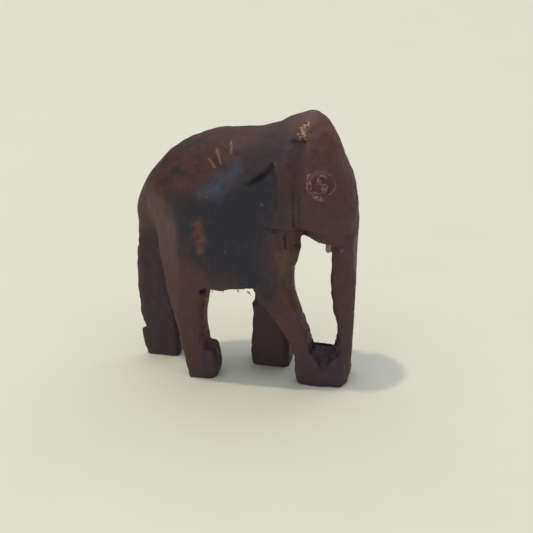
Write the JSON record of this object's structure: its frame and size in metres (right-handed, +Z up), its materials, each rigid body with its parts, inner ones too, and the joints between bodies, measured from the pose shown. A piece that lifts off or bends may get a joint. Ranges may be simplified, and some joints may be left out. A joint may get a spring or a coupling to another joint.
{
  "type": "carved elephant figurine",
  "caption": "Small carved hardwood elephant in a walking stance, trunk down to its fore foot, with inlaid eyes and broken tusk pegs.",
  "frame": {"origin": "on the ground under the middle of the overall box", "axes": "+X the way the animal faces, +Y its left side, +Z up"},
  "size_m": [0.0612, 0.0246, 0.075],
  "materials": {
    "carved_wood": "dark stained and hand-polished hardwood",
    "eye_lac": "worn pink lac",
    "tusk_bone": "raw broken bone"
  },
  "bodies": {
    "root": {"carved_body": "carved_wood", "right_eye_ring": "eye_lac", "right_eye_bead": "eye_lac", "left_eye_ring": "eye_lac", "left_eye_bead": "eye_lac", "right_tusk_stub": "tusk_bone", "left_tusk_stub": "tusk_bone"}
  },
  "joints": []
}
